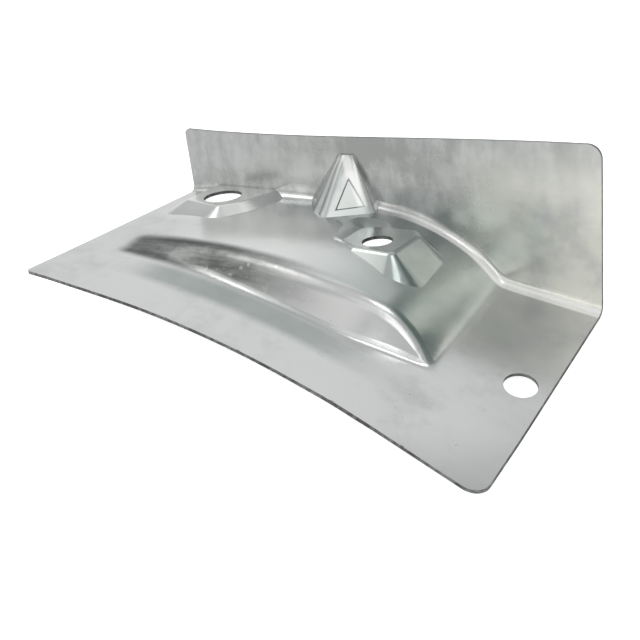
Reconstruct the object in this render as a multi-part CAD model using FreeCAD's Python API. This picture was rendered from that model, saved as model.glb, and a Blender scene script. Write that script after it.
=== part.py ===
import FreeCAD
import Part
import math
import os

# A stamped sheet bracket: one piece of galvanised sheet, millimetres.
# Drawing frame: x along the bend from the left end, y backwards, z up,
# with the front face of the wall at y = 0 and its top edge level.
# The finished sheet is turned at the end to lie on its three low corners.

# Sheet and overall sizes
LENGTH = 146.0
DEPTH = 76.0
SHEET_T = 1.0
TOP_Z = 46.4
TOP_SAG = 0.6
TOP_SAG_X = 50.0
TOP_RISE = 0.8

# Cross-sections of the pressed surface from left to right:
# (x, height at the wall, platform's front top edge as (depth, height),
#  its foot as (depth, height), height at the front crease, at the front edge,
#  flat taken by the bend). Beyond the platform's ends its top edge and foot
#  lie on the base, so they have no height of their own.
ON_BASE = None
SECTIONS = (
    (0.0, 24.6, (36.0, ON_BASE), (46.0, ON_BASE), 23.4, 23.2, 2.4),
    (9.0, 24.9, (39.0, ON_BASE), (47.5, ON_BASE), 22.9, 22.5, 3.4),
    (17.0, 25.4, (41.5, 25.0), (49.0, 22.4), 22.2, 21.4, 4.5),
    (43.0, 25.6, (45.0, 25.4), (51.5, 20.4), 19.6, 18.6, 5.0),
    (67.0, 25.4, (47.2, 23.4), (53.0, 16.0), 15.2, 14.0, 3.4),
    (85.0, 23.8, (47.4, 20.2), (53.0, 11.2), 10.6, 9.3, 2.4),
    (97.0, 19.8, (46.6, 17.2), (52.0, 7.0), 6.4, 5.4, 2.4),
    (105.0, 15.4, (45.4, 14.0), (49.2, 3.8), 3.2, 2.8, 2.4),
    (110.0, 11.8, (45.0, 9.6), (47.6, 1.6), 1.1, 0.9, 2.4),
    (114.0, 7.6, (45.0, 4.6), (47.0, 0.2), -0.6, -0.8, 2.4),
    (116.5, 5.0, (45.0, ON_BASE), (47.0, ON_BASE), -1.6, -1.8, 2.4),
    (121.0, 4.2, (45.0, ON_BASE), (48.0, ON_BASE), -3.4, -3.8, 2.4),
    (146.0, 0.0, (46.0, ON_BASE), (49.0, ON_BASE), -11.0, -14.8, 2.4),
)
CREASE_DEPTH_LEFT = 58.0
CREASE_DEPTH_RIGHT = 54.0
# Flat taken by the rounded crease, foot and platform edge
CREASE_REACH = 2.5
FOOT_REACH = 1.8
EDGE_REACH = 3.0
# Largest share of a flat between two corners that their roundings take
FLAT_SHARE = 0.9

# Level pads round the middle and the left hole: corner points as (x, depth)
MID_PAD_Z = 22.3
MID_PAD_SLOPE = 46.0
MID_PAD = (
    (77.5, 12.5),
    (77.5, 24.0),
    (84.0, 28.0),
    (97.6, 29.0),
    (97.6, 14.0),
    (94.0, 9.5),
    (84.0, 9.5),
)
LEFT_PAD_Z = 27.6
LEFT_PAD_SLOPE = 24.0
LEFT_PAD = (
    (12.0, -3.0),
    (12.0, 17.0),
    (28.5, 20.0),
    (32.5, 15.0),
    (36.5, 4.0),
    (36.5, -3.0),
)
PAD_DROP = 12.0
PAD_CORNER_R = 1.5
PAD_EDGE_R = 2.2
POCKET_SLOPE = 20.0

# Triangular gusset pressed into the bend: (x, depth) round its foot and its
# top, with a fold up its left half, and a triangular panel in its right face
GUSSET_FOOT_Z = 18.0
GUSSET_FOOT = (
    (43.9, 0.0),
    (56.7, 15.7),
    (59.8, 16.1),
    (61.8, 18.4),
    (64.4, 18.8),
    (80.3, 5.4),
    (79.2, 0.0),
)
GUSSET_TOP_Z = 40.8
GUSSET_TOP = (
    (62.6, 0.0),
    (63.6, 0.7),
    (64.2, 0.8),
    (65.0, 1.1),
    (65.8, 1.2),
    (68.0, 0.8),
    (68.8, 0.0),
)
GUSSET_BACK = 6.0
GUSSET_ROUND_SHARE = 0.2
PANEL_FACE = 4
PANEL = ((0.18, 0.36), (0.86, 0.36), (0.5, 0.74))
PANEL_DEPTH = 0.6
PANEL_SLOPE = 35.0

# Round holes: (x, depth, radius)
RIGHT_HOLE = (138.8, 37.9, 4.5)
MID_HOLE = (88.1, 21.2, 4.5)
LEFT_HOLE = (22.8, 11.2, 6.3)

# Corner radii of the outline
CORNER_TOP_RIGHT = 4.0
CORNER_TOP_LEFT = 1.8
CORNER_FRONT_RIGHT = 5.0
CORNER_FRONT_LEFT = 1.5

# Degree of the surface along x
RUN_DEGREE = 3

# Working margins, outside the finished outline
MARGIN = 8.0
BEHIND = 25.0
BELOW = -70.0
ABOVE = 70.0


def vector(x, y, z):
    return FreeCAD.Vector(x, y, z)


def at_fraction(low, high, fraction):
    return low + (high - low) * fraction


def offset_point(before, here, after, distance):
    """Corner of a section after both its lines move by distance into the sheet."""
    normals = []
    for start, end in ((before, here), (here, after)):
        length = math.hypot(end[0] - start[0], end[1] - start[1])
        normals.append(((end[1] - start[1]) / length, -(end[0] - start[0]) / length))
    (ay, az), (by, bz) = normals
    scale = distance / (1.0 + ay * by + az * bz)
    return (here[0] + (ay + by) * scale, here[1] + (az + bz) * scale)


def offset_chain(points, distance):
    """The open chain of (y, z) points moved by distance to its right-hand side."""
    first = (2 * points[0][0] - points[1][0], 2 * points[0][1] - points[1][1])
    last = (2 * points[-1][0] - points[-2][0], 2 * points[-1][1] - points[-2][1])
    chain = [first] + list(points) + [last]
    return [
        offset_point(chain[i - 1], chain[i], chain[i + 1], distance)
        for i in range(1, len(chain) - 1)
    ]


def section_chain(row):
    """Corners (y, z) of one cross-section, from the front edge to the wall's top."""
    x, wall, (top_depth, top), (foot_depth, foot), crease, front, _ = row
    crease_y = -at_fraction(CREASE_DEPTH_LEFT, CREASE_DEPTH_RIGHT, x / LENGTH)
    top_y = -top_depth
    foot_y = -foot_depth
    rise = (wall - crease) / -crease_y
    if top is ON_BASE:
        top = wall + rise * top_y
        foot = wall + rise * foot_y
    slope = (crease - front) / (crease_y + DEPTH)
    return [
        (-DEPTH - MARGIN, front - slope * MARGIN),
        (crease_y, crease),
        (foot_y, foot),
        (top_y, top),
        (0.0, wall),
        (0.0, ABOVE),
    ]


def corner_reaches(chain, bend_reach, inset):
    """Length of flat taken by each rounded corner once the sheet moves by inset."""
    reaches = []
    wanted = (CREASE_REACH, FOOT_REACH, EDGE_REACH, bend_reach)
    for i, reach in enumerate(wanted, start=1):
        before = math.atan2(chain[i][1] - chain[i - 1][1], chain[i][0] - chain[i - 1][0])
        after = math.atan2(chain[i + 1][1] - chain[i][1], chain[i + 1][0] - chain[i][0])
        reaches.append(reach + inset * math.tan((after - before) / 2.0))
    for i in range(len(reaches) - 1):
        flat = math.hypot(
            chain[i + 2][0] - chain[i + 1][0], chain[i + 2][1] - chain[i + 1][1]
        )
        share = FLAT_SHARE * flat / (reaches[i] + reaches[i + 1])
        if share < 1.0:
            reaches[i] *= share
            reaches[i + 1] *= share
    return reaches


def section_poles(row, angle, inset):
    """Control points of one cross-section: flats and rounded corners in turn."""
    chain = section_chain(row)
    reaches = corner_reaches(chain, row[-1], inset)
    moved = offset_chain(chain, inset)
    x = row[0] + inset * math.sin(angle)
    at = lambda point: vector(x, point[0], point[1])
    poles = [at(moved[0])]
    for i, reach in enumerate(reaches, start=1):
        corner = at(moved[i])
        before = at(moved[i - 1]) - corner
        after = at(moved[i + 1]) - corner
        poles.append(corner + before.normalize() * reach)
        poles.append(corner)
        poles.append(corner + after.normalize() * reach)
    poles.append(at(moved[-1]))
    return poles


def run_slopes(rows):
    """Slope angle along x of the height at the wall, at each section."""
    angles = [0.0]
    for low, high in zip(rows, rows[2:]):
        angles.append(math.atan2(high[1] - low[1], high[0] - low[0]))
    return angles + [0.0]


def extended(rows, reach):
    """The sections with one more beyond each end, in line with the last two."""
    def beyond(inner, outer):
        if outer is ON_BASE:
            return ON_BASE
        if isinstance(outer, tuple):
            return tuple(beyond(a, b) for a, b in zip(inner, outer))
        return outer + (outer - inner) * ratio
    ratio = reach / (rows[1][0] - rows[0][0])
    left = beyond(rows[1], rows[0])
    ratio = reach / (rows[-1][0] - rows[-2][0])
    right = beyond(rows[-2], rows[-1])
    return [left] + list(rows) + [right]


def knots(count, degree):
    """Evenly spaced knots and multiplicities of a clamped spline."""
    inner = count - degree - 1
    values = [float(i) for i in range(inner + 2)]
    return values, [degree + 1] + [1] * inner + [degree + 1]


def strip(columns):
    """One smooth face along x through columns of two or three control points."""
    rows_n = len(columns[0])
    across = len(columns) - 1
    poles = [[column[i] for column in columns] for i in range(rows_n)]
    u_knots, u_mults = knots(rows_n, RUN_DEGREE)
    surface = Part.BSplineSurface()
    surface.buildFromPolesMultsKnots(
        poles, u_mults, [across + 1, across + 1], u_knots, [0.0, 1.0],
        False, False, RUN_DEGREE, across,
    )
    return surface.toShape()


def run_curve(column):
    """The smooth edge along x that a strip has on one side."""
    values, mults = knots(len(column), RUN_DEGREE)
    curve = Part.BSplineCurve()
    curve.buildFromPolesMultsKnots(column, mults, values, False, RUN_DEGREE)
    return curve.toShape()


def flat_face(edges):
    """Flat face inside a closed run of edges."""
    return Part.Face(Part.Wire(Part.__sortEdges__(edges)))


def end_cap(poles, back, below):
    """Flat end of the body, under one cross-section."""
    edges = []
    for i in range(0, len(poles) - 1, 3):
        edges.append(Part.makeLine(poles[i], poles[i + 1]))
        if i + 3 < len(poles) - 1:
            curve = Part.BezierCurve()
            curve.setPoles([poles[i + 1], poles[i + 2], poles[i + 3]])
            edges.append(curve.toShape())
    x = poles[0].x
    closing = [
        poles[-1],
        vector(x, back, poles[-1].z),
        vector(x, back, below),
        vector(x, poles[0].y, below),
        poles[0],
    ]
    edges.extend(
        Part.makeLine(closing[i], closing[i + 1]) for i in range(len(closing) - 1)
    )
    return Part.Face(Part.Wire(edges)), closing


def pressed_body(inset):
    """Everything under and behind the pressed surface, moved in by inset."""
    rows = extended(SECTIONS, MARGIN + inset)
    sections = [
        section_poles(row, angle, inset)
        for row, angle in zip(rows, run_slopes(rows))
    ]
    for poles in sections:
        poles[0] = vector(poles[0].x, -DEPTH - MARGIN - inset, poles[0].z)
        poles[-1] = vector(poles[-1].x, poles[-1].y, ABOVE + inset)
    columns = [[poles[i] for poles in sections] for i in range(len(sections[0]))]
    faces = []
    for i in range(0, len(columns) - 2, 3):
        faces.append(strip(columns[i:i + 2]))
        faces.append(strip(columns[i + 1:i + 4]))
    faces.append(flat_face([
        run_curve(columns[-2]),
        Part.makeLine(columns[-2][-1], columns[-1][-1]),
        run_curve(columns[-1]),
        Part.makeLine(columns[-1][0], columns[-2][0]),
    ]))
    back = BEHIND + inset
    below = BELOW - inset
    left, left_line = end_cap(sections[0], back, below)
    right, right_line = end_cap(sections[-1], back, below)
    faces.extend([left, right])
    rails = [run_curve(columns[-1])]
    rails.extend(Part.makeLine(a, b) for a, b in zip(left_line[1:4], right_line[1:4]))
    rails.append(run_curve(columns[0]))
    for i in range(len(rails) - 1):
        sides = [
            Part.makeLine(left_line[i], left_line[i + 1]),
            rails[i + 1],
            Part.makeLine(right_line[i], right_line[i + 1]),
            rails[i],
        ]
        faces.append(flat_face(sides))
    shell = Part.makeShell(faces)
    shell.sewShape()
    solid = Part.makeSolid(shell)
    if solid.Volume < 0:
        solid.reverse()
    return solid


def pad_outline(points, z, grow):
    """Closed wire round a pad at height z, grown outwards, with round corners."""
    corners = [vector(x, -depth, z) for x, depth in points]
    core = Part.makePolygon(corners + [corners[0]]).makeOffset2D(-PAD_CORNER_R, 2)
    return core.makeOffset2D(PAD_CORNER_R + grow, 0)


def with_pad(body, points, z, slope, inset):
    """Cuts the body to the level pad and fills it up to it."""
    angle = math.radians(slope)
    turn = inset * math.tan(angle / 2.0)
    spread = PAD_DROP / math.tan(angle)
    level = z - inset
    raised = pad_outline(points, level, -turn)
    foot = pad_outline(points, level - PAD_DROP, spread - turn)
    fill = Part.makeLoft([raised, foot], True, True)
    rim = [edge for edge in fill.Edges if edge.BoundBox.ZMin > level - PAD_EDGE_R / 10]
    fill = fill.makeFillet(PAD_EDGE_R - inset / 2.0, rim)
    easy = math.radians(POCKET_SLOPE)
    shift = inset * math.tan(easy / 2.0)
    floor = pad_outline(points, level, shift)
    mouth = pad_outline(points, level + PAD_DROP, PAD_DROP / math.tan(easy) + shift)
    pocket = Part.makeLoft([floor, mouth], True, True)
    limit = Part.makeBox(
        LENGTH + 2 * MARGIN, DEPTH, 2 * ABOVE, vector(-MARGIN, -DEPTH + inset, -ABOVE)
    )
    return body.cut(pocket.common(limit)).fuse(fill)


def rounded_outline(corners, share):
    """Closed wire through corners, each rounded over a share of its two sides."""
    edges = []
    count = len(corners)
    for i, corner in enumerate(corners):
        before = corner + (corners[i - 1] - corner) * share
        after = corner + (corners[(i + 1) % count] - corner) * share
        following = corners[(i + 1) % count]
        curve = Part.BezierCurve()
        curve.setPoles([before, corner, after])
        edges.append(curve.toShape())
        edges.append(Part.makeLine(after, following + (corner - following) * share))
    return Part.Wire(edges)


def gusset_corners(points, z):
    """Corners of the gusset at height z, carried on behind the wall."""
    corners = [vector(x, -depth, z) for x, depth in points]
    corners.append(vector(points[-1][0], GUSSET_BACK, z))
    corners.append(vector(points[0][0], GUSSET_BACK, z))
    return corners


def panel_dish():
    """Shallow triangular dish that is pressed into the gusset's right face."""
    foot = gusset_corners(GUSSET_FOOT, GUSSET_FOOT_Z)
    top = gusset_corners(GUSSET_TOP, GUSSET_TOP_Z)
    a, b = foot[PANEL_FACE], foot[PANEL_FACE + 1]
    c, d = top[PANEL_FACE], top[PANEL_FACE + 1]
    mouth = []
    for across, up in PANEL:
        low = a + (b - a) * across
        mouth.append(low + (c + (d - c) * across - low) * up)
    outwards = (mouth[1] - mouth[0]).cross(mouth[2] - mouth[0]).normalize()
    middle = (mouth[0] + mouth[1] + mouth[2]) / 3.0
    spread = PANEL_DEPTH / math.tan(math.radians(PANEL_SLOPE))
    reach = min((corner - middle).Length for corner in mouth)
    grow = spread / reach

    def ring(scale, height):
        points = [middle + (p - middle) * scale + outwards * height for p in mouth]
        return Part.makePolygon(points + [points[0]])

    return Part.makeLoft(
        [ring(1.0 + grow, PANEL_DEPTH), ring(1.0 - grow, -PANEL_DEPTH)], True, True
    )


def gusset_body(inset):
    """The triangular dart between the wall and the platform."""
    rings = [
        rounded_outline(gusset_corners(points, z), GUSSET_ROUND_SHARE)
        for points, z in ((GUSSET_FOOT, GUSSET_FOOT_Z), (GUSSET_TOP, GUSSET_TOP_Z))
    ]
    dart = Part.makeLoft(rings, True, True).cut(panel_dish())
    dart.translate(vector(0.0, inset, -inset))
    return dart


def forming_body(inset):
    """All features together, at the given distance under the upper face."""
    body = pressed_body(inset)
    body = with_pad(body, LEFT_PAD, LEFT_PAD_Z, LEFT_PAD_SLOPE, inset)
    body = with_pad(body, MID_PAD, MID_PAD_Z, MID_PAD_SLOPE, inset)
    return body.fuse(gusset_body(inset))


def plan_outline():
    """Outline seen from above, with the two rounded front corners."""
    right = CORNER_FRONT_RIGHT
    left = CORNER_FRONT_LEFT
    cut = 1.0 - math.sqrt(0.5)
    a = vector(0.0, BEHIND, 0.0)
    b = vector(0.0, -DEPTH + left, 0.0)
    b_mid = vector(left * cut, -DEPTH + left * cut, 0.0)
    c = vector(left, -DEPTH, 0.0)
    d = vector(LENGTH - right, -DEPTH, 0.0)
    d_mid = vector(LENGTH - right * cut, -DEPTH + right * cut, 0.0)
    e = vector(LENGTH, -DEPTH + right, 0.0)
    f = vector(LENGTH, BEHIND, 0.0)
    return Part.Wire([
        Part.makeLine(a, b),
        Part.Arc(b, b_mid, c).toShape(),
        Part.makeLine(c, d),
        Part.Arc(d, d_mid, e).toShape(),
        Part.makeLine(e, f),
        Part.makeLine(f, a),
    ])


def wall_outline():
    """Outline seen from the front, with the wall's slightly wavy top edge."""
    right = CORNER_TOP_RIGHT
    left = CORNER_TOP_LEFT
    cut = 1.0 - math.sqrt(0.5)
    y = -DEPTH - MARGIN
    top_right = TOP_Z + TOP_RISE
    a = vector(0.0, y, BELOW)
    b = vector(0.0, y, TOP_Z - left)
    b_mid = vector(left * cut, y, TOP_Z - left * cut)
    c = vector(left, y, TOP_Z)
    sag = vector(TOP_SAG_X, y, TOP_Z - TOP_SAG)
    mid = vector((TOP_SAG_X + LENGTH) / 2.0, y, TOP_Z + TOP_RISE / 2.0)
    d = vector(LENGTH - right, y, top_right)
    d_mid = vector(LENGTH - right * cut, y, top_right - right * cut)
    e = vector(LENGTH, y, top_right - right)
    f = vector(LENGTH, y, BELOW)
    edge = Part.BSplineCurve()
    edge.interpolate([c, sag, mid, d])
    return Part.Wire([
        Part.makeLine(a, b),
        Part.Arc(b, b_mid, c).toShape(),
        edge.toShape(),
        Part.Arc(d, d_mid, e).toShape(),
        Part.makeLine(e, f),
        Part.makeLine(f, a),
    ])


def trimmed(sheet):
    """The sheet cut to its outline in plan and in front view."""
    plan = Part.Face(plan_outline()).extrude(vector(0.0, 0.0, 2 * ABOVE))
    plan.translate(vector(0.0, 0.0, BELOW))
    front = Part.Face(wall_outline()).extrude(vector(0.0, DEPTH + BEHIND + MARGIN, 0.0))
    return sheet.common(plan).common(front)


def hole_axis(body, x, depth):
    """Point on the upper face at (x, depth), and the face's normal there."""
    line = Part.makeLine(vector(x, -depth, ABOVE), vector(x, -depth, BELOW))
    cut = line.common(body)
    top = max((v.Point for v in cut.Vertexes), key=lambda p: p.z)
    vertex = Part.Vertex(top)
    face = min(body.Faces, key=lambda f: f.distToShape(vertex)[0])
    u, v = face.Surface.parameter(top)
    normal = face.normalAt(u, v)
    return top, normal if normal.z > 0 else normal.multiply(-1.0)


def punch(body, hole):
    """The round punch for one hole, square to the sheet."""
    x, depth, radius = hole
    top, normal = hole_axis(body, x, depth)
    base = top - normal * (2 * SHEET_T)
    return Part.makeCylinder(radius, 4 * SHEET_T, base, normal)


def resting_placement(sheet):
    """Turns the sheet to lie on its three low corners, wall along x."""
    half = SHEET_T / 2.0
    bend_right = vector(LENGTH, -SECTIONS[-1][-1], SECTIONS[-1][1] - SHEET_T)
    bend_left = vector(0.0, -SECTIONS[0][-1], SECTIONS[0][1] - SHEET_T)
    front_right = vector(LENGTH - half, -DEPTH + half, SECTIONS[-1][5] - SHEET_T)
    normal = (bend_left - bend_right).cross(front_right - bend_right)
    if normal.z < 0:
        normal = normal.multiply(-1.0)
    level = FreeCAD.Rotation(normal, vector(0.0, 0.0, 1.0))
    along = level.multVec(vector(1.0, 0.0, 0.0))
    yaw = FreeCAD.Rotation(
        vector(0.0, 0.0, 1.0), -math.degrees(math.atan2(along.y, along.x))
    )
    turn = yaw.multiply(level)
    turned = sheet.copy()
    turned.Placement = FreeCAD.Placement(vector(0.0, 0.0, 0.0), turn)
    box = turned.optimalBoundingBox(True, False)
    shift = vector(-box.Center.x, -box.Center.y, -box.ZMin)
    return FreeCAD.Placement(shift, turn)


def build_sheet():
    upper = forming_body(0.0)
    lower = forming_body(SHEET_T)
    sheet = trimmed(upper.cut(lower))
    for hole in (RIGHT_HOLE, MID_HOLE, LEFT_HOLE):
        sheet = sheet.cut(punch(upper, hole))
    return sheet


def main():
    os.makedirs("parts", exist_ok=True)
    sheet = build_sheet()
    print("solids", len(sheet.Solids), "valid", sheet.isValid(), "volume", round(sheet.Volume, 1))
    solid = max(sheet.Solids, key=lambda s: s.Volume)
    placement = resting_placement(solid)
    print("placement", placement)
    solid.Placement = placement.multiply(solid.Placement)
    solid.exportStep("parts/bracket.step")


if __name__ == "__main__":
    main()
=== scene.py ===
"""Studio scene of a stamped sheet-steel corner bracket on a white floor.

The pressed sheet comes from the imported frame. This file gives it a bare-zinc
finish, a cut-edge finish on the trimmed edges, soft lights and a camera.
"""

import logging
import math
from dataclasses import dataclass
from enum import Enum

import bpy
from mathutils import Euler, Matrix, Vector

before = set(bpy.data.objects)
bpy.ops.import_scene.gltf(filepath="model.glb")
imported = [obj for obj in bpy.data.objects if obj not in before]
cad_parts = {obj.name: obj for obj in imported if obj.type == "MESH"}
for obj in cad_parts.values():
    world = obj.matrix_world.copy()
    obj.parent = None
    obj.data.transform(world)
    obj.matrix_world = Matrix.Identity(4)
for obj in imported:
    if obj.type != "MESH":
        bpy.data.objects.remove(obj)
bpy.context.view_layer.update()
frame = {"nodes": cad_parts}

MM = 0.001
LOG = logging.getLogger("bracket_scene")

# A place, three turns or a plain colour, and a colour with its opacity.
Triple = tuple[float, float, float]
Colour = tuple[float, float, float, float]


class Maths(Enum):
    """The Math node operations that expressions use."""

    ADD = "ADD"
    SUBTRACT = "SUBTRACT"
    MULTIPLY = "MULTIPLY"
    DIVIDE = "DIVIDE"
    MINIMUM = "MINIMUM"
    MAXIMUM = "MAXIMUM"
    ABSOLUTE = "ABSOLUTE"
    SINE = "SINE"


class Ray(Enum):
    """The kinds of ray that a shader tells apart."""

    CAMERA = "Is Camera Ray"
    GLOSSY = "Is Glossy Ray"


class Slot(Enum):
    """The sheet's material slots."""

    SKIN = 0
    TRIMMED = 1


@dataclass(frozen=True)
class Span:
    """Two values, from low to high."""

    low: float
    high: float

    def in_metres(self) -> "Span":
        """The same span, taken as millimetres."""
        return Span(self.low * MM, self.high * MM)


@dataclass(frozen=True)
class Grain:
    """Cloudy noise: patches per metre, finer layers, their strength and a stretch."""

    scale: float
    layers: float
    strength: float
    stretch: Triple | None = None


class Sock:
    """An output socket that takes part in Python expressions."""

    def __init__(self, net: "Net", socket: bpy.types.NodeSocket) -> None:
        """Keeps the socket and the net that it belongs to.

        Args:
            net: the shader net that new nodes go into.
            socket: the output socket that is wrapped.
        """
        self.net = net
        self.socket = socket

    def _maths(self, operation: Maths, first: object, second: object = None) -> "Sock":
        """Adds one Math node and returns its output.

        Args:
            operation: what the node does.
            first: its first value or socket.
            second: its second value or socket, if it has one.

        Returns:
            The node's output.
        """
        values = {0: first}
        if second is not None:
            values[1] = second
        return self.net.node("ShaderNodeMath", {"operation": operation.value}, values)

    def __add__(self, other: object) -> "Sock":
        """Sum."""
        return self._maths(Maths.ADD, self, other)

    __radd__ = __add__

    def __sub__(self, other: object) -> "Sock":
        """Difference."""
        return self._maths(Maths.SUBTRACT, self, other)

    def __rsub__(self, other: object) -> "Sock":
        """Difference from a value on the left."""
        return self._maths(Maths.SUBTRACT, other, self)

    def __mul__(self, other: object) -> "Sock":
        """Product."""
        return self._maths(Maths.MULTIPLY, self, other)

    __rmul__ = __mul__

    def __truediv__(self, other: object) -> "Sock":
        """Quotient."""
        return self._maths(Maths.DIVIDE, self, other)

    def __abs__(self) -> "Sock":
        """Size without sign."""
        return self._maths(Maths.ABSOLUTE, self)

    def sine(self) -> "Sock":
        """Sine of this value, in radians."""
        return self._maths(Maths.SINE, self)

    def at_most(self, other: object) -> "Sock":
        """The smaller of this and another value."""
        return self._maths(Maths.MINIMUM, self, other)

    def at_least(self, other: object) -> "Sock":
        """The larger of this and another value."""
        return self._maths(Maths.MAXIMUM, self, other)


class Net:
    """The node tree of one material or of the world."""

    def __init__(self, tree: bpy.types.NodeTree) -> None:
        """Empties the tree.

        Args:
            tree: the node tree to fill.
        """
        self.tree = tree
        tree.nodes.clear()

    def node(
        self,
        kind: str,
        settings: dict[str, object],
        values: dict[str | int, object],
        output: str | int = 0,
    ) -> Sock | None:
        """Adds a node.

        Args:
            kind: the node's Blender type.
            settings: its properties, and "stops" for a ramp's colours.
            values: numbers, colours or sockets for its inputs, by name or index.
            output: the name or index of the output that is returned.

        Returns:
            The chosen output, or nothing for a node that has none.
        """
        made = self.tree.nodes.new(kind)
        for name, value in settings.items():
            if name == "stops":
                self._stops(made.color_ramp, value)
            else:
                setattr(made, name, value)
        for name, value in values.items():
            socket = made.inputs[name]
            if isinstance(value, Sock):
                self.tree.links.new(value.socket, socket)
            else:
                socket.default_value = value
        return Sock(self, made.outputs[output]) if len(made.outputs) else None

    @staticmethod
    def _stops(ramp: bpy.types.ColorRamp, stops: tuple[tuple[float, Triple], ...]) -> None:
        """Sets a ramp's stops.

        Args:
            ramp: the ramp.
            stops: pairs of a place and a colour.
        """
        while len(ramp.elements) > 1:
            ramp.elements.remove(ramp.elements[0])
        for i, (place, colour) in enumerate(stops):
            stop = ramp.elements[0] if i == 0 else ramp.elements.new(place)
            stop.position = place
            stop.color = (*colour, 1.0)

    def ramp(self, value: Sock, stops: tuple[tuple[float, Triple], ...]) -> Sock:
        """Maps a value through a smooth ramp.

        Args:
            value: the value to map.
            stops: pairs of a place and a colour.

        Returns:
            The ramp's colour.
        """
        return self.node("ShaderNodeValToRGB", {"stops": stops}, {"Fac": value})

    def rise(self, value: Sock, span: Span) -> Sock:
        """A smooth step from 0 at one end of a span to 1 at the other.

        Args:
            value: the value to test.
            span: where the step starts and ends.

        Returns:
            The step.
        """
        settings = {"interpolation_type": "SMOOTHSTEP"}
        ends = {"Value": value, "From Min": span.low, "From Max": span.high}
        return self.node("ShaderNodeMapRange", settings, ends)

    def within(self, value: Sock, span: Span, low_soft: float, high_soft: float) -> Sock:
        """1 inside a span and 0 outside it, with soft ends.

        Args:
            value: the value to test.
            span: the span.
            low_soft: the width of the lower step.
            high_soft: the width of the upper step.

        Returns:
            The share.
        """
        rises = self.rise(value, Span(span.low - low_soft / 2.0, span.low + low_soft / 2.0))
        falls = self.rise(value, Span(span.high - high_soft / 2.0, span.high + high_soft / 2.0))
        return rises * (1.0 - falls)

    def mix(self, share: object, first: object, second: object) -> Sock:
        """Mixes two colours.

        Args:
            share: how much of the second colour.
            first: the first colour.
            second: the second colour.

        Returns:
            The mixed colour.
        """
        return self.node("ShaderNodeMix", {"data_type": "RGBA"}, {0: share, 6: first, 7: second}, 2)

    def noise(self, where: Sock, grain: Grain) -> Sock:
        """Cloudy noise.

        Args:
            where: the coordinates, in metres.
            grain: its size and strength.

        Returns:
            The noise, about 0.5 on average.
        """
        if grain.stretch:
            values = {"Vector": where, "Scale": grain.stretch}
            where = self.node("ShaderNodeMapping", {"vector_type": "POINT"}, values)
        values = {
            "Vector": where,
            "Scale": grain.scale,
            "Detail": grain.layers,
            "Roughness": grain.strength,
        }
        return self.node("ShaderNodeTexNoise", {}, values)


def fresh_material(name: str) -> tuple[bpy.types.Material, Net]:
    """Makes an empty material.

    Args:
        name: its name.

    Returns:
        The material and its shader net.
    """
    material = bpy.data.materials.new(name)
    material.use_nodes = True
    return material, Net(material.node_tree)


def direction(azimuth: float, height: float) -> Triple:
    """The unit vector towards an azimuth and a height.

    Args:
        azimuth: degrees from x towards y.
        height: degrees above the floor.

    Returns:
        The direction.
    """
    turn, rise = math.radians(azimuth), math.radians(height)
    flat = math.cos(rise)
    return (math.cos(turn) * flat, math.sin(turn) * flat, math.sin(rise))


@dataclass(frozen=True)
class SheetFrame:
    """Where the sheet's own frame lies: x along the bend, y backwards, z up."""

    place: Triple = (-68.5394 * MM, 33.3937 * MM, -22.7456 * MM)
    turn: Triple = (-11.5089, -9.3753, 0.0)

    def matrix(self) -> Matrix:
        """The matrix from the sheet's frame to the scene."""
        turn = Euler([math.radians(a) for a in self.turn], "XYZ")
        return Matrix.LocRotScale(Vector(self.place), turn, None)

    def coordinates(self, net: Net) -> Sock:
        """Shader coordinates in the sheet's frame.

        Args:
            net: the shader net.

        Returns:
            The coordinates, in metres.
        """
        where = net.node("ShaderNodeTexCoord", {}, {}, "Object")
        values = {
            "Vector": where,
            "Location": self.place,
            "Rotation": tuple(math.radians(a) for a in self.turn),
        }
        return net.node("ShaderNodeMapping", {"vector_type": "TEXTURE"}, values)


@dataclass(frozen=True)
class Spot:
    """The shaded point in the sheet's frame, and the clouds that every mark shares."""

    where: Sock
    x: Sock
    y: Sock
    z: Sock
    clouds: Sock
    patches: Sock


@dataclass(frozen=True)
class Area:
    """A soft-edged rectangle of the sheet seen from above, in millimetres of its frame."""

    left: float
    left_soft: float
    right: float
    right_soft: float
    front: float
    back: float
    soft: float

    def share(self, net: Net, spot: Spot) -> Sock:
        """How far a point lies in the area.

        Args:
            net: the shader net.
            spot: the point.

        Returns:
            The share, 0 to 1.
        """
        length = Span(self.left, self.right).in_metres()
        depth = Span(self.front, self.back).in_metres()
        along = net.within(spot.x, length, self.left_soft * MM, self.right_soft * MM)
        return along * net.within(spot.y, depth, self.soft * MM, self.soft * MM)


@dataclass(frozen=True)
class Tint:
    """Painted light or shade over one area: a cast of colour, broken up by the clouds."""

    area: Area
    least: float
    colour: Colour
    by_clouds: float = 0.8
    most: float = 0.95

    def over(self, net: Net, spot: Spot, below: Sock) -> Sock:
        """Lays the cast over what is there.

        Args:
            net: the shader net.
            spot: the point.
            below: the colour that the cast covers.

        Returns:
            The new colour.
        """
        share = self.area.share(net, spot) * (self.least + spot.clouds * self.by_clouds)
        return net.mix(share.at_most(1.0) * self.most, below, self.colour)


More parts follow.
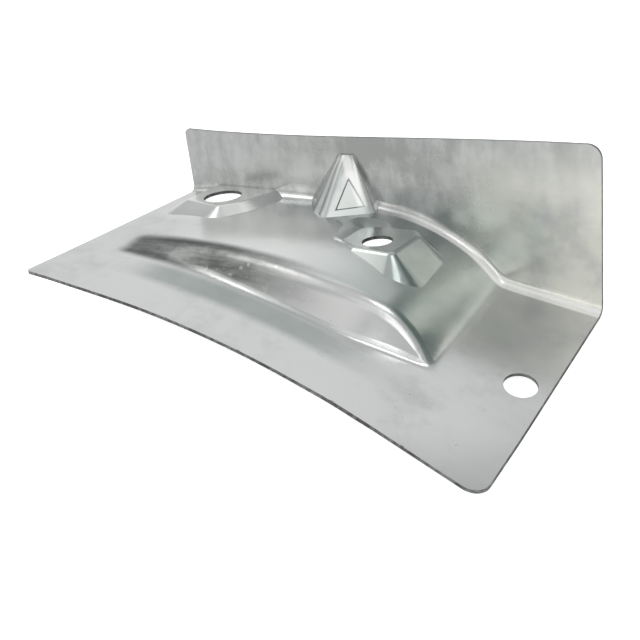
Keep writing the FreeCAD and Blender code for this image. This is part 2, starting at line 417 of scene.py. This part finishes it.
@dataclass(frozen=True)
class GussetMarks:
    """The gusset's pleats with painted shade in their hollows, a painted highlight on its right
    ridge, and painted shade on its right face and panel. Lengths are in millimetres.
    """

    bright: Colour
    dull: Colour
    depth: Span = Span(-22.0, -1.0)
    foot: Span = Span(25.8, 27.2)
    fan_side: float = 66.0
    fan_top: float = 43.5
    fan_rate: float = 26.0
    left_side: Span = Span(40.0, 64.0)
    ridge_normal: tuple[float, float] = (0.891, 0.4535)
    ridge_offset: float = 79.2
    ridge: Span = Span(-2.9, -0.7)
    ridge_soft: float = 0.8
    right_side: Span = Span(64.5, 76.0)
    panel_height: Span = Span(26.2, 34.9)
    panel_foot_soft: float = 0.4
    panel_top_soft: float = 0.8
    panel_normal: tuple[float, float] = (0.823, 0.568)
    panel_offset: float = 76.3
    panel_edge: Span = Span(-0.3, 0.3)
    panel_left: Span = Span(66.3, 67.1)
    # shares of painted shade on the right face, on its panel and in the pleats' hollows, and of the
    # painted highlight on the right ridge
    flank_dull: float = 0.15
    panel_dull: float = 0.12
    pleat_dull: float = 0.45
    ridge_bright: float = 0.9

    def over(self, net: Net, spot: Spot, below: Sock) -> tuple[Sock, Sock, Sock]:
        """Lays the marks over what is there.

        Args:
            net: the shader net.
            spot: the point.
            below: the colour that the marks cover.

        Returns:
            The new colour, the pleats' height and the share of painted highlight on the ridge.
        """
        stands = net.within(spot.y, self.depth.in_metres(), MM, MM)
        stands = stands * net.rise(spot.z, self.foot.in_metres())
        fan = (self.fan_side * MM - spot.x) / (self.fan_top * MM - spot.z).at_least(MM)
        wave = (fan * self.fan_rate).sine()
        left = stands * net.within(spot.x, self.left_side.in_metres(), MM, 2.0 * MM)
        across = self._across(spot, self.ridge_normal, self.ridge_offset)
        soft = self.ridge_soft * MM
        ridge = stands * net.within(across, self.ridge.in_metres(), soft, soft)
        right = stands * net.within(spot.x, self.right_side.in_metres(), MM, MM) * (1.0 - ridge)
        panel = self._panel(net, spot)
        # painted shade on the right face, on its panel and in the pleats' hollows, and a painted
        # highlight on the right ridge
        colour = net.mix(right * (1.0 - panel) * self.flank_dull, below, self.dull)
        colour = net.mix(right * panel * self.panel_dull, colour, self.dull)
        colour = net.mix(left * (0.5 - wave * 0.5) * self.pleat_dull, colour, self.dull)
        colour = net.mix(ridge * self.ridge_bright, colour, self.bright)
        return colour, left * wave, ridge

    def _panel(self, net: Net, spot: Spot) -> Sock:
        """The triangular panel in the gusset's right face.

        Args:
            net: the shader net.
            spot: the point.

        Returns:
            The share of panel, 0 to 1.
        """
        slope = self._across(spot, self.panel_normal, self.panel_offset)
        softness = (self.panel_foot_soft * MM, self.panel_top_soft * MM)
        inside = net.within(spot.z, self.panel_height.in_metres(), *softness)
        inside = inside * (1.0 - net.rise(slope, self.panel_edge.in_metres()))
        return inside * net.rise(spot.x, self.panel_left.in_metres())

    @staticmethod
    def _across(spot: Spot, normal: tuple[float, float], offset: float) -> Sock:
        """The distance from a slanting line in the plane of x and z.

        Args:
            spot: the point.
            normal: the line's unit normal in x and z.
            offset: the line's distance from the frame's origin, in millimetres.

        Returns:
            The distance, in metres.
        """
        return spot.x * normal[0] + spot.z * normal[1] - offset * MM


@dataclass(frozen=True)
class ZincFinish:
    """Bare zinc on pressed steel: satin, cloudy, with rolling streaks and smudges, and with painted
    shade, painted reflections and painted highlights over parts of the sheet.
    """

    name: str = "zinc_satin"
    pale: Colour = (0.67, 0.675, 0.675, 1.0)
    # bright is the colour of the painted highlights and painted light; green and shade are the
    # colours of painted shade, shadow and reflections
    bright: Colour = (0.93, 0.93, 0.92, 1.0)
    dull: Colour = (0.41, 0.42, 0.415, 1.0)
    green: Colour = (0.35, 0.40, 0.385, 1.0)
    shade: Colour = (0.335, 0.37, 0.36, 1.0)
    # dark colour of the specks and nicks, and of the painted shade on the platform's front wall
    dark_specks_and_shade: Colour = (0.075, 0.081, 0.078, 1.0)
    warm: Colour = (0.95, 0.94, 0.86, 1.0)

    clouds: Grain = Grain(42.0, 4.0, 0.6)
    patches: Grain = Grain(130.0, 4.0, 0.6)
    rolling: Grain = Grain(520.0, 2.0, 0.5, (0.10, 1.0, 1.0))
    streaks: Grain = Grain(420.0, 3.0, 0.6, (0.14, 1.0, 1.0))
    smudges: Grain = Grain(120.0, 4.0, 0.65, (1.0, 1.0, 0.30))
    flecks: Grain = Grain(420.0, 2.0, 0.5)
    specks: Grain = Grain(1500.0, 2.0, 0.5)

    wall_from: Span = Span(-1.6, -0.6)
    wall_grime: float = 0.80
    wall_veil: float = 0.34
    veil_fades: Span = Span(84.0, 130.0)
    base_grime: float = 0.34
    warm_share: float = 0.9
    warm_from: Span = Span(96.0, 124.0)
    warm_below: Span = Span(30.0, 50.0)
    # painted shade, painted reflections and painted light over areas of the sheet
    tints: tuple[Tint, ...] = (
        # painted reflection: a dark band on the base in front of the platform's front wall
        Tint(Area(31.0, 18.0, 101.0, 34.0, -62.4, -53.8, 4.4), 0.50, shade),
        # painted reflection: the platform's right end and ramp made dark green-grey
        Tint(Area(79.0, 34.0, 116.0, 6.0, -44.5, -2.5, 2.5), 0.50, green),
        # painted shadow on the platform by the gusset, right of the left seat
        Tint(Area(38.0, 9.0, 82.0, 12.0, -15.5, -4.0, 7.0), 0.08, green),
        # painted shade on the flat base right of the ramp
        Tint(Area(112.0, 6.0, 136.0, 26.0, -30.0, -1.5, 14.0), 0.08, shade),
        # painted light: the front of the platform's top made paler
        Tint(Area(36.0, 34.0, 94.0, 26.0, -48.0, -22.0, 14.0), 0.0, bright),
        # painted light: the left seat made paler
        Tint(Area(6.0, 14.0, 44.0, 18.0, -25.0, -4.0, 12.0), 0.15, bright),
    )
    # painted shade on the platform's front wall, darker in streaks
    front_wall_shade: Area = Area(15.0, 6.0, 74.0, 44.0, -52.2, -42.4, 3.4)
    front_shade_least: float = 0.78
    front_shade_most: float = 0.97
    fleck_share: float = 0.25
    flecks_from: Span = Span(38.0, 60.0)
    # painted highlight along the bend at the wall's foot
    bend_highlight_area: Area = Area(86.0, 16.0, 150.0, 2.0, -3.0, -0.5, 0.9)
    speck_share: float = 0.30
    nick_share: float = 0.6
    nick_places: tuple[float, ...] = (55.0, 79.0, 107.0, 126.0)
    nick_reach: Span = Span(0.2, 0.7)
    nick_depth: Span = Span(-75.9, -75.6)

    roughness: float = 0.20
    bump: float = 0.13
    # less metal where highlights are painted on the gusset's ridge and the bend, and in the bloom
    highlight_and_bloom_matt: float = 0.6
    frame: SheetFrame = SheetFrame()

    def make(self) -> bpy.types.Material:
        """Builds the material.

        Returns:
            The material.
        """
        material, net = fresh_material(self.name)
        spot = self._spot(net)
        on_wall = net.rise(spot.y, self.wall_from.in_metres())
        grime = self._grime(net, spot, on_wall)
        warm = self._warm_end(net, spot) * on_wall
        colour = net.mix(grime, self.pale, self.dull)
        colour = net.mix(warm * self.warm_share, colour, self.warm)
        # painted shade, painted reflections and painted light over areas of the sheet
        for tint in self.tints:
            colour = tint.over(net, spot, colour)
        # painted shade on the platform's front wall
        colour, front_shade = self._paint_front_shade(net, spot, colour)
        # painted shade and a painted highlight on the gusset
        gusset = GussetMarks(self.bright, self.dull)
        colour, pleats, ridge = gusset.over(net, spot, colour)
        # painted highlight along the bend at the wall's foot
        bend_highlight = self.bend_highlight_area.share(net, spot) * (0.6 + spot.patches * 0.6).at_most(1.0)
        colour = net.mix(bend_highlight, colour, self.bright)
        specks = net.rise(net.noise(spot.where, self.specks), Span(0.66, 0.74))
        specks = specks * net.rise(spot.patches, Span(0.48, 0.62))
        marks = specks * self.speck_share + self._nicks(net, spot) * self.nick_share
        colour = net.mix(marks.at_most(1.0), colour, self.dark_specks_and_shade)

        rolling = net.noise(spot.where, self.rolling)
        rough = self.roughness + grime * 0.09 + front_shade * 0.16 + (rolling - 0.5) * 0.05
        height = spot.clouds * 0.6 + rolling * 0.10 + spot.patches * 0.30 + pleats * 0.55
        relief = {"Strength": self.bump, "Distance": 0.5 * MM, "Height": height}
        # less metal where highlights are painted on the gusset's ridge and the bend, and in the
        # bloom
        matt = (ridge + bend_highlight + warm * 0.4).at_most(1.0) * self.highlight_and_bloom_matt
        values = {
            "Base Color": colour,
            "Metallic": 1.0 - matt,
            "Roughness": rough + specks * 0.1,
            "Normal": net.node("ShaderNodeBump", {}, relief),
        }
        surface = net.node("ShaderNodeBsdfPrincipled", {}, values)
        net.node("ShaderNodeOutputMaterial", {}, {"Surface": surface})
        return material

    def _spot(self, net: Net) -> Spot:
        """The shaded point in the sheet's frame.

        Args:
            net: the shader net.

        Returns:
            The point.
        """
        where = self.frame.coordinates(net)
        x, y, z = (net.node("ShaderNodeSeparateXYZ", {}, {0: where}, i) for i in range(3))
        clouds, patches = net.noise(where, self.clouds), net.noise(where, self.patches)
        return Spot(where, x, y, z, clouds, patches)

    def _grime(self, net: Net, spot: Spot, on_wall: Sock) -> Sock:
        """Upright smudges on the wall, an even darkening of the wall that fades out towards its
        right end, and faint clouds on the base.

        Args:
            net: the shader net.
            spot: the point.
            on_wall: 1 on the wall and 0 on the base.

        Returns:
            The share of grime, 0 to 1.
        """
        smudges = net.noise(spot.where, self.smudges) * 0.34 + spot.clouds * 0.42
        wall = net.rise(smudges + spot.patches * 0.24, Span(0.40, 0.60)) * on_wall
        faint = net.rise(spot.clouds * 0.6 + spot.patches * 0.4, Span(0.48, 0.70))
        base = faint * (1.0 - on_wall)
        # an even darkening of the wall that fades out towards its right end
        veil = on_wall * (1.0 - net.rise(spot.x, self.veil_fades.in_metres()))
        total = wall * self.wall_grime + veil * self.wall_veil + base * self.base_grime
        return total.at_most(1.0)

    def _warm_end(self, net: Net, spot: Spot) -> Sock:
        """Where the right end of the wall has a warm, pale bloom.

        Args:
            net: the shader net.
            spot: the point.

        Returns:
            The share of bloom, 0 to 1.
        """
        ends = net.rise(spot.x, self.warm_from.in_metres())
        lower = 1.0 - net.rise(spot.z, self.warm_below.in_metres())
        return ends * lower * net.rise(spot.clouds, Span(0.28, 0.54))

    def _paint_front_shade(self, net: Net, spot: Spot, below: Sock) -> tuple[Sock, Sock]:
        """Painted shade on the platform's front wall, darker in streaks, with pale flecks.

        Args:
            net: the shader net.
            spot: the point.
            below: the colour that the smear covers.

        Returns:
            The new colour and the share of smear.
        """
        area = self.front_wall_shade.share(net, spot)
        streaks = net.noise(spot.where, self.streaks) * 0.55 + spot.patches * 0.45
        more = net.rise(streaks, Span(0.36, 0.62)) * (1.0 - self.front_shade_least)
        dark = area * (self.front_shade_least + more)
        colour = net.mix(dark * self.front_shade_most, below, self.dark_specks_and_shade)
        flecks = area * net.rise(net.noise(spot.where, self.flecks), Span(0.61, 0.70))
        flecks = flecks * net.rise(spot.x, self.flecks_from.in_metres())
        return net.mix(flecks * self.fleck_share, colour, self.warm), dark

    def _nicks(self, net: Net, spot: Spot) -> Sock:
        """Small trimming nicks in the front edge.

        Args:
            net: the shader net.
            spot: the point.

        Returns:
            The share of nick, 0 to 1.
        """
        reach = self.nick_reach.in_metres()
        nicks = [1.0 - net.rise(abs(spot.x - place * MM), reach) for place in self.nick_places]
        total = sum(nicks[1:], nicks[0])
        at_edge = 1.0 - net.rise(spot.y, self.nick_depth.in_metres())
        return (total * at_edge).at_most(1.0)


@dataclass(frozen=True)
class EdgeFinish:
    """Trimmed edge of the sheet: bare steel, darker and rougher than the zinc."""

    name: str = "cut_edge"
    bright: Colour = (0.30, 0.305, 0.30, 1.0)
    dark: Colour = (0.12, 0.12, 0.118, 1.0)
    tears: Grain = Grain(900.0, 3.0, 0.6)
    blots: Grain = Grain(140.0, 2.0, 0.5)
    metallic: float = 0.9
    smoothest: float = 0.42
    roughest: float = 0.60
    bump: float = 0.35
    frame: SheetFrame = SheetFrame()

    def make(self) -> bpy.types.Material:
        """Builds the material.

        Returns:
            The material.
        """
        material, net = fresh_material(self.name)
        where = self.frame.coordinates(net)
        tears = net.noise(where, self.tears)
        share = net.rise(tears * 0.6 + net.noise(where, self.blots) * 0.4, Span(0.38, 0.66))
        relief = {"Strength": self.bump, "Distance": 0.1 * MM, "Height": tears}
        values = {
            "Base Color": net.mix(share, self.dark, self.bright),
            "Metallic": self.metallic,
            "Roughness": self.smoothest + (1.0 - share) * (self.roughest - self.smoothest),
            "Normal": net.node("ShaderNodeBump", {}, relief),
        }
        surface = net.node("ShaderNodeBsdfPrincipled", {}, values)
        net.node("ShaderNodeOutputMaterial", {}, {"Surface": surface})
        return material


@dataclass(frozen=True)
class Hole:
    """A round hole, in millimetres of the sheet's frame."""

    x: float
    depth: float
    radius: float
    slack: float = 1.08

    def holds(self, centre: Vector) -> bool:
        """Whether a point lies in the hole or on its wall.

        Args:
            centre: the point, in metres of the sheet's frame.

        Returns:
            True in the hole.
        """
        across = math.hypot(centre.x - self.x * MM, centre.y + self.depth * MM)
        return across < self.radius * MM * self.slack


@dataclass(frozen=True)
class Bracket:
    """The pressed sheet: the CAD skin with its two finishes. Lengths are in metres."""

    node: str = "bracket"
    length: float = 146.0 * MM
    depth: float = 76.0 * MM
    top: float = 45.6 * MM
    front_right: float = 5.0 * MM
    front_left: float = 1.5 * MM
    top_right: float = 4.0 * MM
    top_left: float = 1.8 * MM
    near: float = 0.05 * MM
    square: float = 0.9
    upright: float = 0.2
    steep: float = 0.5
    holes: tuple[Hole, ...] = (
        Hole(138.8, 37.9, 4.5),
        Hole(88.1, 21.2, 4.5),
        Hole(22.8, 11.2, 6.3),
    )
    zinc: ZincFinish = ZincFinish()
    edge: EdgeFinish = EdgeFinish()
    frame: SheetFrame = SheetFrame()

    def build(self, nodes: dict[str, bpy.types.Object]) -> bpy.types.Object:
        """Dresses the CAD node.

        Args:
            nodes: the frame's nodes by name.

        Returns:
            The sheet's object.
        """
        sheet = nodes[self.node]
        self._dress(sheet)
        return sheet

    def _dress(self, sheet: bpy.types.Object) -> None:
        """Gives the faces their two finishes.

        Args:
            sheet: the sheet's object.
        """
        sheet.data.materials.clear()
        sheet.data.materials.append(self.zinc.make())
        sheet.data.materials.append(self.edge.make())
        back = self.frame.matrix().inverted()
        turn = back.to_3x3()
        for face in sheet.data.polygons:
            trimmed = self._trimmed(back @ face.center, turn @ face.normal)
            face.material_index = (Slot.TRIMMED if trimmed else Slot.SKIN).value

    def _trimmed(self, centre: Vector, normal: Vector) -> bool:
        """Whether a face lies on a cut edge or on a hole's wall.

        Args:
            centre: the face's centre in the sheet's frame.
            normal: its normal in the sheet's frame.

        Returns:
            True on a cut edge.
        """
        if self._on_straight_edge(centre, normal) or self._on_corner(centre, normal):
            return True
        in_hole = any(hole.holds(centre) for hole in self.holes)
        return in_hole and abs(normal.z) < self.steep

    def _on_straight_edge(self, centre: Vector, normal: Vector) -> bool:
        """Whether a face lies on an end, on the front edge or on the wall's top edge.

        Args:
            centre: the face's centre in the sheet's frame.
            normal: its normal in the sheet's frame.

        Returns:
            True on such an edge.
        """
        at_end = centre.x < self.near or centre.x > self.length - self.near
        at_front = centre.y < self.near - self.depth
        at_top = centre.z > self.top - self.near and centre.y > 0.0
        return (
            (at_end and abs(normal.x) > self.square)
            or (at_front and normal.y < -self.square)
            or (at_top and normal.z > self.square)
        )

    def _on_corner(self, centre: Vector, normal: Vector) -> bool:
        """Whether a face lies on one of the sheet's four rounded corners.

        Args:
            centre: the face's centre in the sheet's frame.
            normal: its normal in the sheet's frame.

        Returns:
            True on such a corner.
        """
        if centre.y < self.front_right - self.depth and abs(normal.z) < self.upright:
            if centre.x > self.length - self.front_right or centre.x < self.front_left:
                return True
        if centre.z > self.top - self.top_right and abs(normal.y) < self.upright:
            return centre.x > self.length - self.top_right or centre.x < self.top_left
        return False


@dataclass(frozen=True)
class Lamp:
    """A soft square light that points at the bracket."""

    name: str
    azimuth: float
    height: float
    distance: float
    width: float
    watts: float

    def hang(self, target: Vector) -> bpy.types.Object:
        """Adds the light.

        Args:
            target: the point that it faces.

        Returns:
            The light's object.
        """
        data = bpy.data.lights.new(self.name, "AREA")
        data.shape = "SQUARE"
        data.size = self.width
        data.energy = self.watts
        lamp = bpy.data.objects.new(self.name, data)
        way = Vector(direction(self.azimuth, self.height))
        lamp.location = target + way * self.distance
        lamp.rotation_euler = way.to_track_quat("Z", "Y").to_euler()
        bpy.context.scene.collection.objects.link(lamp)
        return lamp


@dataclass(frozen=True)
class SkyPatch:
    """A soft round area of the studio's surroundings, such as a panel or a dark flag."""

    azimuth: float
    height: float
    radius: float
    softness: float
    colour: Triple

    def over(self, net: Net, way: Sock, below: Sock) -> Sock:
        """Lays the patch over what is there.

        Args:
            net: the world's shader net.
            way: the direction of view, as a unit vector.
            below: the colour that the patch covers.

        Returns:
            The new colour.
        """
        centre = direction(self.azimuth, self.height)
        settings = {"operation": "DOT_PRODUCT"}
        along = net.node("ShaderNodeVectorMath", settings, {0: way, 1: centre}, 1)
        outer = math.cos(math.radians(self.radius + self.softness / 2.0))
        inner = math.cos(math.radians(max(self.radius - self.softness / 2.0, 0.0)))
        return net.mix(net.rise(along, Span(outer, inner)), below, (*self.colour, 1.0))


@dataclass(frozen=True)
class Studio:
    """White floor, white surroundings and soft lights."""

    target: Triple = (0.0, 0.0, 15.0 * MM)
    floor_size: float = 6.0
    floor_gap: float = 0.2 * MM
    floor_colour: Colour = (0.8, 0.8, 0.8, 1.0)
    floor_glow: float = 0.75
    floor_glint: float = 0.12
    white: Colour = (1.0, 1.0, 1.0, 1.0)
    sky: tuple[tuple[float, Triple], ...] = (
        (0.00, (0.74, 0.75, 0.745)),
        (0.30, (0.66, 0.67, 0.665)),
        (0.75, (0.60, 0.61, 0.605)),
        (1.00, (0.70, 0.71, 0.705)),
    )
    patches: tuple[SkyPatch, ...] = (
        SkyPatch(-124.0, 10.0, 24.0, 18.0, (1.12, 1.12, 1.10)),
        SkyPatch(-108.0, 38.0, 12.0, 14.0, (0.85, 0.85, 0.84)),
        SkyPatch(-67.0, 37.0, 8.5, 5.0, (2.0, 2.0, 1.97)),
        SkyPatch(112.0, 19.0, 30.0, 14.0, (0.90, 0.91, 0.905)),
        SkyPatch(50.0, 30.0, 25.0, 14.0, (0.23, 0.27, 0.26)),
        SkyPatch(74.0, 28.0, 12.0, 12.0, (0.30, 0.345, 0.33)),
        SkyPatch(-50.0, 55.0, 11.0, 8.0, (1.25, 1.25, 1.23)),
        SkyPatch(163.0, 20.0, 13.0, 12.0, (0.46, 0.48, 0.47)),
        SkyPatch(-176.0, 46.0, 20.0, 12.0, (1.15, 1.15, 1.13)),
        SkyPatch(164.0, 46.0, 11.0, 6.0, (3.3, 3.3, 3.25)),
    )
    lamps: tuple[Lamp, ...] = (
        Lamp("key_light", 35.0, 76.0, 1.0, 0.35, 0.65),
        Lamp("fill_light", 290.0, 60.0, 1.4, 0.9, 0.6),
    )

    def build(self) -> None:
        """Adds the floor, the surroundings and the lights."""
        self._floor()
        self._surroundings()
        for lamp in self.lamps:
            lamp.hang(Vector(self.target))

    def _floor(self) -> None:
        """Adds the floor and leaves it out of the object."""
        bpy.ops.object.select_all(action="DESELECT")
        below = (0.0, 0.0, -self.floor_gap)
        bpy.ops.mesh.primitive_plane_add(size=self.floor_size, location=below)
        floor = bpy.context.object
        floor.name = "studio_floor"
        material, net = fresh_material("floor_white")
        plain = net.node("ShaderNodeBsdfDiffuse", {}, {"Color": self.floor_colour})
        surface = plain
        for ray, strength in ((Ray.GLOSSY, self.floor_glint), (Ray.CAMERA, self.floor_glow)):
            seen = net.node("ShaderNodeLightPath", {}, {}, ray.value)
            glow = {"Color": self.white, "Strength": strength}
            lit = {0: plain, 1: net.node("ShaderNodeEmission", {}, glow)}
            both = net.node("ShaderNodeAddShader", {}, lit)
            surface = net.node("ShaderNodeMixShader", {}, {0: seen, 1: surface, 2: both})
        net.node("ShaderNodeOutputMaterial", {}, {"Surface": surface})
        floor.data.materials.append(material)

    def _surroundings(self) -> None:
        """Fills the world: white to the camera, a soft grey studio to the metal."""
        world = bpy.data.worlds.new("studio")
        bpy.context.scene.world = world
        world.use_nodes = True
        net = Net(world.node_tree)
        way = net.node("ShaderNodeTexCoord", {}, {}, "Generated")
        up = net.node("ShaderNodeSeparateXYZ", {}, {0: way}, 2)
        colour = net.ramp(up, self.sky)
        for patch in self.patches:
            colour = patch.over(net, way, colour)
        camera = net.node("ShaderNodeLightPath", {}, {}, Ray.CAMERA.value)
        colour = net.mix(camera, colour, self.white)
        glow = net.node("ShaderNodeBackground", {}, {"Color": colour, "Strength": 1.0})
        net.node("ShaderNodeOutputWorld", {}, {"Surface": glow})


@dataclass(frozen=True)
class Camera:
    """The viewpoint of the photograph."""

    place: Triple = (0.140068, -0.185146, 0.177019)
    turn: Triple = (51.7844, 5.1208, 32.415)
    lens: float = 56.278
    sensor: float = 36.0
    nearest: float = 10.0 * MM

    def stand(self) -> bpy.types.Object:
        """Adds the camera and makes it the scene's.

        Returns:
            The camera.
        """
        data = bpy.data.cameras.new("camera")
        data.lens = self.lens
        data.sensor_width = self.sensor
        data.clip_start = self.nearest
        camera = bpy.data.objects.new("camera", data)
        camera.location = self.place
        camera.rotation_euler = Euler([math.radians(a) for a in self.turn], "XYZ")
        bpy.context.scene.collection.objects.link(camera)
        bpy.context.scene.camera = camera
        return camera


def write_sizes() -> None:
    """Defines a helper that gives a box as plain lists of numbers; writes nothing.
    """

    def plain(box: object) -> list[list[float]]:
        """A box as plain lists of numbers."""
        return [[float(v) for v in corner] for corner in box]


def main() -> None:
    """Builds the scene in order and reports each piece."""
    logging.basicConfig(level=logging.INFO, format="%(name)s: %(message)s")
    bpy.context.scene.view_settings.view_transform = "Standard"
    sheet = Bracket().build(frame["nodes"])
    LOG.info("bracket: %d triangles", len(sheet.data.polygons))
    Studio().build()
    LOG.info("studio: floor, surroundings and lights")
    Camera().stand()
    LOG.info("camera: at the photograph's viewpoint")
    write_sizes()


if __name__ == "__main__":
    main()
